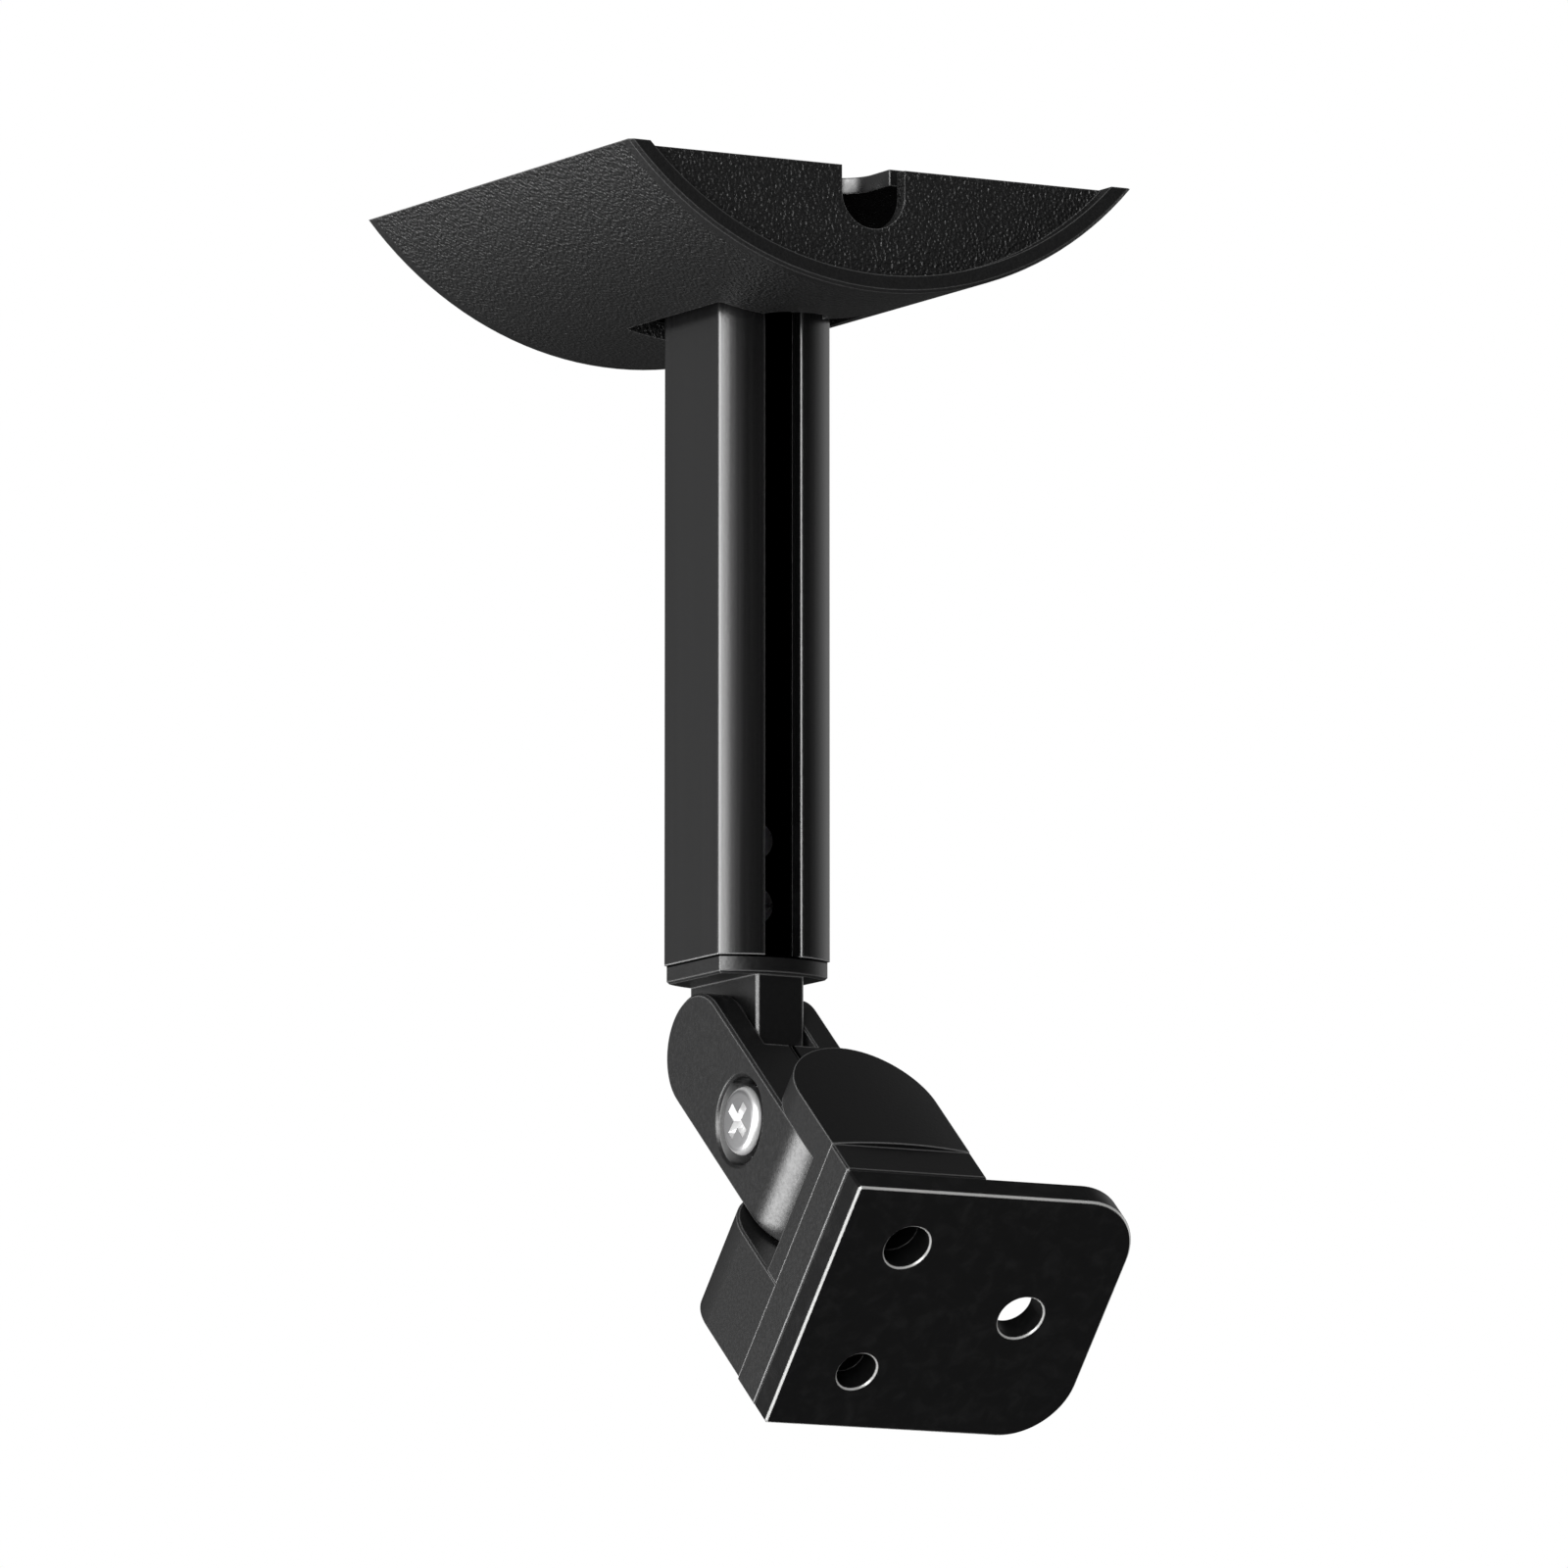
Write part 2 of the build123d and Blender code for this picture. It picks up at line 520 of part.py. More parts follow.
def bottom_arm():
    """Deep arm under the joint, which takes the lower hole's screw."""
    slab = slab_y(yoke_arm_outline(), YOKE_BOTTOM_INNER, YOKE_BOTTOM_OUTER)
    slab = break_end(slab, YOKE_BOTTOM_INNER, YOKE_INNER_EDGE)
    return break_end(slab, YOKE_BOTTOM_OUTER, YOKE_EDGE)


def break_end(slab, y, size):
    """Breaks the edges of an arm's face at the place y, apart from the one at the flange."""
    face = slab.faces().filter_by(Axis.Y).sort_by(lambda f: abs(f.center().Y - y))[0]
    return chamfer([e for e in face.edges() if e.center().Z > FLANGE_BACK_Z + NEAR], size)


def swivel_yoke():
    slot_height = YOKE_BOTTOM_INNER - YOKE_TOP_INNER
    web = Pos(0, SLOT_MIDDLE_Y, (WEB_Z + FLANGE_BACK_Z) / 2) * Box(2 * YOKE_RADIUS, slot_height, YOKE_WEB)
    flange_size = (2 * (YOKE_RADIUS + FLANGE_STEP), YOKE_BOTTOM_OUTER - YOKE_TOP_OUTER, FLANGE_THICKNESS)
    flange = Pos(0, FLANGE_MIDDLE_Y, (FLANGE_BACK_Z + FLANGE_FRONT_Z) / 2) * Box(*flange_size)
    flange = chamfer(flange.edges(), FLANGE_EDGE)
    yoke = top_arm() + bottom_arm() + web + flange
    yoke -= rod_y(PIN_RADIUS, YOKE_TOP_OUTER + PIN_COVER, YOKE_BOTTOM_OUTER, -SWIVEL_DROP)
    pocket_start = YOKE_BOTTOM_OUTER - BOTTOM_POCKET_DEPTH
    yoke -= rod_y(BOTTOM_POCKET_RADIUS, pocket_start, YOKE_BOTTOM_OUTER + PAST, -SWIVEL_DROP)
    for x, y, radius in speaker_holes():
        if abs(x) < YOKE_RADIUS:
            yoke -= Pos(x, y, 0) * rod(radius, FLANGE_FRONT_Z - PAST, FLANGE_FRONT_Z + BLIND_HOLE_DEPTH)
    start = FLANGE_FRONT_Z - PAST
    hole = screw_hole(CSK_RADIUS + SCREW_HOLE_GAP, CSK_HEAD_RADIUS, CSK_HEAD_HEIGHT, start, WEB_Z)
    for x in plate_screw_places():
        yoke -= Pos(x, SLOT_MIDDLE_Y, 0) * hole
    return hang(yoke)


def speaker_holes():
    """Centre and radius of each hole that takes the loudspeaker's screws."""
    upper = FLANGE_MIDDLE_Y - SPEAKER_HOLE_SPACING / 2
    lower = FLANGE_MIDDLE_Y + SPEAKER_HOLE_SPACING / 2
    return [(0, upper, SPEAKER_HOLE_RADIUS), (0, lower, SPEAKER_LOWER_HOLE_RADIUS),
            (SPEAKER_SIDE_HOLE, FLANGE_MIDDLE_Y, SPEAKER_HOLE_RADIUS)]


def plate_screw_places():
    """Places across the yoke of the screws that hold the speaker plate."""
    return [side * PLATE_SCREW_SPACING / 2 for side in (-1, 1)]


def speaker_plate():
    left = -YOKE_RADIUS - FLANGE_STEP
    height = YOKE_BOTTOM_OUTER - YOKE_TOP_OUTER
    middle_x = left + SPEAKER_PLATE_WIDTH / 2
    middle_z = (FLANGE_FRONT_Z + PLATE_FRONT_Z) / 2
    size = (SPEAKER_PLATE_WIDTH, height, SPEAKER_PLATE_THICKNESS)
    plate = Pos(middle_x, FLANGE_MIDDLE_Y, middle_z) * Box(*size)
    plate = fillet(plate.edges().filter_by(Axis.Z).sort_by(Axis.X)[-2:], SPEAKER_PLATE_CORNER)
    plate = chamfer(plate.edges().filter_by(Axis.Z).sort_by(Axis.X)[:2], SPEAKER_PLATE_EDGE)
    faces = plate.faces().sort_by(Axis.Z)
    plate = chamfer(faces[0].edges() + faces[-1].edges(), SPEAKER_PLATE_EDGE)
    for x, y, radius in speaker_holes():
        rim = radius + SPEAKER_HOLE_EDGE
        plate -= Pos(x, y, 0) * rod(radius, PLATE_FRONT_Z - PAST, FLANGE_FRONT_Z + PAST)
        plate -= Pos(x, y, PLATE_FRONT_Z + SPEAKER_HOLE_EDGE / 2) * Cone(rim, radius, SPEAKER_HOLE_EDGE)
    thread = rod(CSK_RADIUS, FLANGE_FRONT_Z - PLATE_SCREW_GRIP, FLANGE_FRONT_Z + PAST)
    for x in plate_screw_places():
        plate -= Pos(x, SLOT_MIDDLE_Y, 0) * thread
    return hang(plate)


def plate_screw(x):
    grip = WEB_Z - FLANGE_FRONT_Z + PLATE_SCREW_GRIP - PLATE_SCREW_END_GAP
    head = Pos(0, 0, -CSK_HEAD_HEIGHT / 2) * Cone(CSK_RADIUS, CSK_HEAD_RADIUS, CSK_HEAD_HEIGHT)
    screw = head + rod(CSK_RADIUS, -grip, -CSK_HEAD_HEIGHT)
    screw -= tapered_cross(CSK_HEAD_RADIUS, CROSS_WIDTH, CSK_HEAD_HEIGHT * CROSS_DEPTH_SHARE)
    return hang(Pos(x, SLOT_MIDDLE_Y, WEB_Z) * screw)


def pieces():
    left_port, right_port = port_places()
    lower_z, upper_z = cap_screw_heights()
    left_x, right_x = plate_screw_places()
    return {
        "base_cover": base_cover(),
        "base_plate": base_plate(),
        "arm": arm(),
        "arm_cap": arm_cap(),
        "arm_screw_left": arm_screw(left_port),
        "arm_screw_right": arm_screw(right_port),
        "cap_screw_lower": cap_screw(lower_z),
        "cap_screw_upper": cap_screw(upper_z),
        "tilt_pin": tilt_pin(),
        "tilt_washer_left": tilt_washer(-1),
        "tilt_washer_right": tilt_washer(1),
        "knuckle_left": knuckle_half(-1),
        "knuckle_right": knuckle_half(1),
        "clamp_screw": clamp_screw(),
        "clamp_washer": clamp_washer(),
        "clamp_nut": clamp_nut(),
        "swivel_pin": swivel_pin(),
        "swivel_washer": swivel_washer(),
        "swivel_spring": swivel_spring(),
        "swivel_yoke": swivel_yoke(),
        "speaker_plate": speaker_plate(),
        "plate_screw_left": plate_screw(left_x),
        "plate_screw_right": plate_screw(right_x),
    }


os.makedirs("parts", exist_ok=True)
for name, piece in pieces().items():
    export_step(piece, f"parts/{name}.step")
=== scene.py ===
import math
import bmesh
import bpy
from mathutils import Matrix, Vector


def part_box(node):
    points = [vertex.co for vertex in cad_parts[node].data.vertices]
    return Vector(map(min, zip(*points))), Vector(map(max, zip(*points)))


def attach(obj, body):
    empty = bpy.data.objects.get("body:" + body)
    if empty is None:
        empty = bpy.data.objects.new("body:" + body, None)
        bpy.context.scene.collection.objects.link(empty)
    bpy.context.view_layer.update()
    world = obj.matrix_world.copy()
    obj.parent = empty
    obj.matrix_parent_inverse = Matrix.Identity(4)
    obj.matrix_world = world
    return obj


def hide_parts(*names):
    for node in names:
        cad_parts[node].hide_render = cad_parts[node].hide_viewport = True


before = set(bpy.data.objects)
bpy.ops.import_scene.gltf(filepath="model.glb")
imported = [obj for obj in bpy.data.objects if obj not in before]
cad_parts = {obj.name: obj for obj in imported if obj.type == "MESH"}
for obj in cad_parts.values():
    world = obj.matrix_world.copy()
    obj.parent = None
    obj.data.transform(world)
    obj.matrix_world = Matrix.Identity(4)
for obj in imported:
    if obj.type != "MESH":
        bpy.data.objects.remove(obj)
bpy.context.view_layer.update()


# Base plate: pressed steel with four turned-down tabs, powder coated black, screwed to the
# ceiling or wall through its four corner holes. Its edges are painted lighter: partly the coat
# rubbed thin, partly painted highlight on the rounded edges.
STEEL_BLACK = (0.009, 0.009, 0.0095)
STEEL_WORN_AND_LIT = (0.1, 0.1, 0.1)
STEEL_SMOOTH, STEEL_DULL = 0.24, 0.34
STEEL_EDGE_RADIUS = 0.0003
STEEL_PEEL_SCALE = 900.0
STEEL_PEEL_DEPTH = 0.00002
STEEL_PEEL_STRENGTH = 0.4
EDGE_MARK_STARTS, EDGE_MARK_FULL = 0.995, 0.9
PATTERN_LOW, PATTERN_HIGH = 0.3, 0.7


def new_material(name, colour, roughness=0.5, metallic=0.0, specular=0.5, ior=1.5):
    """Material with one Principled shader; its numbers are set on the shader's own sockets."""
    material = bpy.data.materials.new(name)
    material.use_nodes = True
    shader = material.node_tree.nodes["Principled BSDF"]
    shader.inputs["Base Color"].default_value = (*colour, 1.0)
    shader.inputs["Roughness"].default_value = roughness
    shader.inputs["Metallic"].default_value = metallic
    shader.inputs["Specular IOR Level"].default_value = specular
    shader.inputs["IOR"].default_value = ior
    return material, material.node_tree, shader


def add(tree, kind, settings=None, **inputs):
    """Adds a shader node. An input goes by its name, with _ for a space, or by its number, as
    _0, and takes a number, a colour or another node's output."""
    node = tree.nodes.new("ShaderNode" + kind)
    for name, setting in (settings or {}).items():
        setattr(node, name, setting)
    for name, value in inputs.items():
        socket = node.inputs[int(name[1:]) if name[0] == "_" else name.replace("_", " ")]
        if isinstance(value, bpy.types.NodeSocket):
            tree.links.new(value, socket)
        elif socket.type == "RGBA":
            socket.default_value = (*value, 1.0)
        else:
            socket.default_value = value
    return node


def place_of(tree, stretch=(1.0, 1.0, 1.0)):
    """Object coordinates in metres, stretched along the axes."""
    coordinates = tree.nodes.new("ShaderNodeTexCoord")
    return add(tree, "Mapping", Vector=coordinates.outputs["Object"], Scale=stretch).outputs["Vector"]


def noise(tree, place, scale, detail=2.0, roughness=0.5, distortion=0.0):
    """Soft random pattern, mostly between PATTERN_LOW and PATTERN_HIGH."""
    node = add(tree, "TexNoise", Vector=place, Scale=scale, Detail=detail, Roughness=roughness,
               Distortion=distortion)
    return node.outputs["Fac"]


def between(tree, value, low, high, start, end):
    """Maps a value from low..high onto start..end, and holds it at the ends."""
    node = add(tree, "MapRange", Value=value, From_Min=low, From_Max=high, To_Min=start, To_Max=end)
    return node.outputs["Result"]


def mix_colour(tree, share, first, second):
    """Goes from the first colour to the second as the share rises from nought to one."""
    return add(tree, "Mix", {"data_type": "RGBA"}, _0=share, _6=first, _7=second).outputs[2]


def bump(tree, height, depth, strength=1.0, normal=None):
    """Bump of the given depth in metres; strength may be a number or a mask."""
    node = add(tree, "Bump", Height=height, Distance=depth, Strength=strength)
    if normal is not None:
        tree.links.new(normal, node.inputs["Normal"])
    return node.outputs["Normal"]


def rounded(tree, radius):
    """Normal that turns smoothly round each edge, as the small radius on the real piece does."""
    return add(tree, "Bevel", {"samples": 6}, Radius=radius).outputs["Normal"]


def edge_wear_and_highlight(tree, soft_normal, amount=1.0):
    """Rises to the amount along the edges, where handling has rubbed the finish thin and where the
    lighter colour is also a painted highlight on the rounded edges. EDGE_MARK_STARTS and
    EDGE_MARK_FULL are cosines of the turn from the flat face's normal to the rounded one."""
    flat_normal = tree.nodes.new("ShaderNodeNewGeometry").outputs["Normal"]
    turn = add(tree, "VectorMath", {"operation": "DOT_PRODUCT"}, _0=soft_normal, _1=flat_normal)
    return between(tree, turn.outputs["Value"], EDGE_MARK_STARTS, EDGE_MARK_FULL, 0.0, amount)


def uneven_shine(tree, shader, pattern, smooth, dull):
    """Lets the roughness wander from smooth to dull with a noise pattern."""
    roughness = between(tree, pattern, PATTERN_LOW, PATTERN_HIGH, smooth, dull)
    tree.links.new(roughness, shader.inputs["Roughness"])


def wear(material, node_names):
    """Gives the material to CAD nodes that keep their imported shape."""
    for name in node_names:
        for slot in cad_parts[name].material_slots:
            slot.material = material


plate_steel, tree, shader = new_material("plate_steel", STEEL_BLACK, specular=1.0)
peel = noise(tree, place_of(tree), STEEL_PEEL_SCALE)
uneven_shine(tree, shader, peel, STEEL_SMOOTH, STEEL_DULL)
soft = rounded(tree, STEEL_EDGE_RADIUS)
coated = bump(tree, peel, STEEL_PEEL_DEPTH, STEEL_PEEL_STRENGTH, soft)
tree.links.new(coated, shader.inputs["Normal"])
# Lighter edges: partly the coat rubbed thin, partly painted highlight on the rounded edges.
worn_and_lit = mix_colour(tree, edge_wear_and_highlight(tree, soft), STEEL_BLACK, STEEL_WORN_AND_LIT)
tree.links.new(worn_and_lit, shader.inputs["Base Color"])
wear(plate_steel, ["base_plate"])


# Arm screws: two countersunk steel screws, zinc plated, driven up through the base plate into
# the arm's two screw ports before the plate goes to the ceiling.
ZINC = (0.62, 0.63, 0.64)
ZINC_SMOOTH, ZINC_DULL = 0.24, 0.4
PLATING_CLOUD_SCALE = 700.0
PLATING_CLOUD_DETAIL = 3.0

zinc, tree, shader = new_material("zinc", ZINC, metallic=1.0)
cloud = noise(tree, place_of(tree), PLATING_CLOUD_SCALE, PLATING_CLOUD_DETAIL)
uneven_shine(tree, shader, cloud, ZINC_SMOOTH, ZINC_DULL)
wear(zinc, ["arm_screw_left", "arm_screw_right"])


# Cover: black plastic moulding with a leather grain that fades out at the rims and stops
# inside. It slides down the arm to free the fixing holes, and clips over the plate's tabs.
COVER_BLACK = (0.009, 0.009, 0.0092)
COVER_INSIDE_SHADE = (0.003, 0.003, 0.003)
COVER_WORN_AND_LIT = (0.12, 0.12, 0.12)
COVER_SMOOTH, COVER_DULL = 0.32, 0.44
COVER_EDGE_RADIUS = 0.0002
GRAIN_SCALE = 2150.0
GRAIN_SOFTNESS = 0.4
GRAIN_FOLD_SCALE = 1935.0
GRAIN_FOLD_TWIST = 1.0
GRAIN_LOW, GRAIN_HIGH = 0.5, 1.2
GRAIN_DEPTH = 0.0002
GRAIN_AT_RIM = 0.25
RIM_START, RIM_FULL = 0.0311, 0.0315
COVER_AXIS = (0.0, 0.0, 0.0309)
ACROSS_COVER = (1.0, 0.0, 1.0)
INSIDE_RADIUS = 0.0454
INSIDE_END = 0.0293


def calculate(tree, operation, *values):
    """Result of one Math node; a test such as LESS_THAN gives one where it holds, else nought."""
    numbered = {f"_{number}": value for number, value in enumerate(values)}
    return add(tree, "Math", {"operation": operation}, **numbered).outputs["Value"]


def off_line(tree, place, point, across):
    """Arrow to the place from a line through the point; across is nought along the line."""
    back = [-part * kept for part, kept in zip(point, across)]
    return add(tree, "Mapping", Vector=place, Location=back, Scale=across).outputs["Vector"]


def length_of(tree, arrow):
    """Length of an arrow, in metres."""
    return add(tree, "VectorMath", {"operation": "LENGTH"}, _0=arrow).outputs["Value"]


cover_plastic, tree, shader = new_material("cover_plastic", COVER_BLACK, specular=0.58)
place = place_of(tree)
cells = add(tree, "TexVoronoi", {"feature": "SMOOTH_F1"}, Vector=place, Scale=GRAIN_SCALE,
            Smoothness=GRAIN_SOFTNESS).outputs["Distance"]
folds = noise(tree, place, GRAIN_FOLD_SCALE, distortion=GRAIN_FOLD_TWIST)
grain = calculate(tree, "ADD", cells, folds)
from_middle = calculate(tree, "ABSOLUTE", add(tree, "SeparateXYZ", Vector=place).outputs["Y"])
from_axis = length_of(tree, off_line(tree, place, COVER_AXIS, ACROSS_COVER))
within = calculate(tree, "LESS_THAN", from_axis, INSIDE_RADIUS)
between_ends = calculate(tree, "LESS_THAN", from_middle, INSIDE_END)
inside = calculate(tree, "MULTIPLY", within, between_ends)
outside = calculate(tree, "SUBTRACT", 1.0, inside)
near_rim = between(tree, from_middle, RIM_START, RIM_FULL, 1.0, GRAIN_AT_RIM)
grained = calculate(tree, "MULTIPLY", near_rim, outside)
soft = rounded(tree, COVER_EDGE_RADIUS)
leather = bump(tree, grain, GRAIN_DEPTH, grained, soft)
tree.links.new(leather, shader.inputs["Normal"])
roughness = between(tree, grain, GRAIN_LOW, GRAIN_HIGH, COVER_SMOOTH, COVER_DULL)
tree.links.new(roughness, shader.inputs["Roughness"])
# The inside of the cover is painted darker than the outside: painted shade inside the hollow.
shaded_inside = mix_colour(tree, inside, COVER_BLACK, COVER_INSIDE_SHADE)
# Lighter edges: partly the plastic rubbed, partly painted highlight on the rounded edges.
worn_and_lit = mix_colour(tree, edge_wear_and_highlight(tree, soft), shaded_inside, COVER_WORN_AND_LIT)
tree.links.new(worn_and_lit, shader.inputs["Base Color"])
wear(cover_plastic, ["base_cover"])


# Arm: aluminium extrusion, sawn to length and black anodised, with the faint lengthwise lines
# of its die. It hangs from the base plate's two screws.
ANODISED = (0.0045, 0.0045, 0.0047)
ARM_WORN_AND_LIT = (0.4, 0.4, 0.402)
ARM_SMOOTH, ARM_DULL = 0.2, 0.26
ARM_EDGE_RADIUS = 0.0003
DIE_LINE_SCALE = 2600.0
DIE_LINE_STRETCH = (1.0, 1.0, 0.006)
FROST_SCALE = 3800.0
DIE_LINE_DEPTH = 0.000005
DIE_LINE_STRENGTH = 0.5
CHANNEL_MIDDLE = (0.0, -0.0036, 0.0)
CHANNEL_HALF_WIDTH = 0.0059
CHANNEL_HALF_DEPTH = 0.0029
SHADE_BLACK = (0.0015, 0.0015, 0.0015)


def shade_out(tree, shader, colour, mask):
    """Turns the finish black where the mask is one, as deep in a gap that no light reaches."""
    tree.links.new(mix_colour(tree, mask, colour, SHADE_BLACK), shader.inputs["Base Color"])
    tree.links.new(mask, shader.inputs["Metallic"])


arm_aluminium, tree, shader = new_material("arm_aluminium", ANODISED, ior=1.8)
place = place_of(tree)
lines = noise(tree, place_of(tree, DIE_LINE_STRETCH), DIE_LINE_SCALE, detail=3.0, roughness=0.6)
frost = noise(tree, place, FROST_SCALE)
drawn = calculate(tree, "ADD", lines, frost)
soft = rounded(tree, ARM_EDGE_RADIUS)
extruded = bump(tree, drawn, DIE_LINE_DEPTH, DIE_LINE_STRENGTH, soft)
tree.links.new(extruded, shader.inputs["Normal"])
uneven_shine(tree, shader, lines, ARM_SMOOTH, ARM_DULL)
# The inside of the cable channel is painted black and made unreflecting: painted shade deep in the
# channel.
across = add(tree, "VectorMath", {"operation": "SUBTRACT"}, _0=place, _1=CHANNEL_MIDDLE)
across = add(tree, "VectorMath", {"operation": "ABSOLUTE"}, _0=across.outputs["Vector"])
across = add(tree, "SeparateXYZ", Vector=across.outputs["Vector"])
in_width = calculate(tree, "LESS_THAN", across.outputs["X"], CHANNEL_HALF_WIDTH)
in_depth = calculate(tree, "LESS_THAN", across.outputs["Y"], CHANNEL_HALF_DEPTH)
in_channel = calculate(tree, "MULTIPLY", in_width, in_depth)
# Lighter edges: partly the anodising rubbed through, partly painted highlight on the rounded edges.
worn_and_lit = mix_colour(tree, edge_wear_and_highlight(tree, soft), ANODISED, ARM_WORN_AND_LIT)
shade_out(tree, shader, worn_and_lit, in_channel)
wear(arm_aluminium, ["arm"])


# Arm cap and its two screws: a zinc casting, black powder coated, that plugs the arm's end and
# carries the tilt joint's lug. Two pan head screws in the cable channel hold its spigot.
COAT_BLACK = (0.005, 0.005, 0.0052)
COAT_WORN_AND_LIT = (0.18, 0.18, 0.18)
COAT_SMOOTH, COAT_DULL = 0.28, 0.38
COAT_EDGE_RADIUS = 0.0003
COAT_PEEL_SCALE = 2400.0
COAT_PEEL_DEPTH = 0.00004
COAT_PEEL_STRENGTH = 0.35
ARM_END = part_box("arm")[0][2]
CAP_SEAM = 0.00025


def cast_coat(name):
    """Powder coat with a faint orange peel; the piece links its own colour."""
    material, tree, shader = new_material(name, COAT_BLACK, specular=0.8)
    peel = noise(tree, place_of(tree), COAT_PEEL_SCALE)
    soft = rounded(tree, COAT_EDGE_RADIUS)
    coated = bump(tree, peel, COAT_PEEL_DEPTH, COAT_PEEL_STRENGTH, soft)
    tree.links.new(coated, shader.inputs["Normal"])
    uneven_shine(tree, shader, peel, COAT_SMOOTH, COAT_DULL)
    return material, tree, shader, soft


cap_casting, tree, shader, soft = cast_coat("cap_casting")
# Lighter edges: partly the coat rubbed thin, partly painted highlight on the rounded edges.
worn_and_lit = mix_colour(tree, edge_wear_and_highlight(tree, soft), COAT_BLACK, COAT_WORN_AND_LIT)
# The cap's top just under the arm's end is painted black: a painted shadow in the seam between arm
# and cap.
height = add(tree, "SeparateXYZ", Vector=place_of(tree)).outputs["Z"]
under_arm = calculate(tree, "GREATER_THAN", height, ARM_END - CAP_SEAM)
shade_out(tree, shader, worn_and_lit, under_arm)
wear(cap_casting, ["arm_cap"])
wear(zinc, ["cap_screw_lower", "cap_screw_upper"])


# Knuckle halves and yoke: zinc castings in the same coat. The halves are parted on the middle
# plane, with a painted shadow along the parting line. The back wall of the left one's
# counterbore for the clamp screw, which faces the light, is painted light grey: partly bare
# metal, partly painted light.
BORE_BARE_AND_LIT = (0.24, 0.24, 0.24)
TILT_AXIS = (0.0, 0.0, -0.1062)
TILT_ANGLE = math.radians(-49.0)
CLAMP_SEAT = (-0.0042, 0.0, -0.0144)
TILTED = Matrix.Translation(TILT_AXIS) @ Matrix.Rotation(TILT_ANGLE, 4, "X")
CLAMP_MIDDLE = TILTED @ Vector(CLAMP_SEAT)
ACROSS_CLAMP = (0.0, 1.0, 1.0)
BORE_EDGE = 0.00547
BORE_RIM = 0.0062
BORE_LIT_STARTS, BORE_LIT_FULL = 0.0022, 0.0046
PARTING_HALF = 0.0004

joint_casting, tree, shader, soft = cast_coat("joint_casting")
# Lighter edges: partly the coat rubbed thin, partly painted highlight on the rounded edges.
worn_and_lit = mix_colour(tree, edge_wear_and_highlight(tree, soft), COAT_BLACK, COAT_WORN_AND_LIT)
tree.links.new(worn_and_lit, shader.inputs["Base Color"])
wear(joint_casting, ["swivel_yoke"])

knuckle_casting, tree, shader, soft = cast_coat("knuckle_casting")
place = place_of(tree)
side = add(tree, "SeparateXYZ", Vector=place).outputs["X"]
left_half = calculate(tree, "LESS_THAN", side, 0.0)
right_half = calculate(tree, "SUBTRACT", 1.0, left_half)
off_bore = off_line(tree, place, CLAMP_MIDDLE, ACROSS_CLAMP)
from_bore = length_of(tree, off_bore)
in_bore = calculate(tree, "MULTIPLY", calculate(tree, "LESS_THAN", from_bore, BORE_EDGE), left_half)
# The counterbore's back wall, which faces the panels, is painted light grey: partly bare metal,
# partly painted light on its lit side.
back_of_bore = add(tree, "SeparateXYZ", Vector=off_bore).outputs["Y"]
bare_and_lit = between(tree, back_of_bore, BORE_LIT_STARTS, BORE_LIT_FULL, 0.0, in_bore)
coated = mix_colour(tree, bare_and_lit, COAT_BLACK, BORE_BARE_AND_LIT)
off_rim = calculate(tree, "GREATER_THAN", from_bore, BORE_RIM)
handled = calculate(tree, "MAXIMUM", off_rim, right_half)
# Lighter edges, kept off the left counterbore's rim: partly the coat rubbed thin, partly painted
# highlight.
worn_and_lit = mix_colour(tree, edge_wear_and_highlight(tree, soft, handled), coated, COAT_WORN_AND_LIT)
# A thin band on the parting plane is painted black: a painted shadow in the gap between the halves.
off_parting = calculate(tree, "ABSOLUTE", side)
in_parting = calculate(tree, "LESS_THAN", off_parting, PARTING_HALF)
shade_out(tree, shader, worn_and_lit, in_parting)
wear(knuckle_casting, ["knuckle_left", "knuckle_right"])


# Pins, washers and spring of the joint: turned steel pins, black friction discs and one dished
# spring washer, put together with the two knuckle halves.
DISC_BLACK = (0.02, 0.02, 0.02)
FIBRE_SCALE = 5000.0
FIBRE_DETAIL = 3.0
FIBRE_DEPTH = 0.00003
FIBRE_STRENGTH = 0.5

friction_disc, tree, shader = new_material("friction_disc", DISC_BLACK, roughness=0.7, specular=0.3)
fibre = noise(tree, place_of(tree), FIBRE_SCALE, FIBRE_DETAIL)
pressed = bump(tree, fibre, FIBRE_DEPTH, FIBRE_STRENGTH)
tree.links.new(pressed, shader.inputs["Normal"])
wear(friction_disc, ["tilt_washer_left", "tilt_washer_right", "swivel_washer"])
wear(zinc, ["tilt_pin", "swivel_pin", "swivel_spring"])


# Clamp screw, washer and nut: one machine screw draws the two knuckle halves together on both
# pins. Cold-headed steel with a punched cross recess, zinc plated; its rim and recess are painted
# bright, partly as burnished metal and partly as painted highlight.
# Its shape is in millimetres: radius and height over its seat, from the crown to the shank's tip.
HEAD_PROFILE = [(3.2, 3.315), (3.4, 3.3), (3.65, 3.22), (3.87, 3.08), (4.04, 2.88), (4.16, 2.62),
                (4.23, 2.32), (4.25, 2.0), (4.25, 0.2), (4.1, 0.0), (2.0, 0.0), (2.0, -11.1),
                (1.7, -11.4)]
HEAD_SEGMENTS = 64
CROWN_TOP = 3.4
CROWN_RADIUS = 60.0
RECESS_REACH = 2.5
RECESS_HALF_WIDTH = 0.66
RECESS_TAPER = 0.35
RECESS_DEPTH = 1.5
MILLIMETRE = 0.001
SHARP_TURN = math.radians(30.0)
TO_THE_LEFT = math.radians(-90.0)
CLAMP_TURN = math.radians(-5.5)
SCREW_CROWN = (0.42, 0.42, 0.425)
SCREW_BRIGHT = (0.8, 0.8, 0.8)
CROWN_METAL, BRIGHT_METAL = 1.0, 0.65
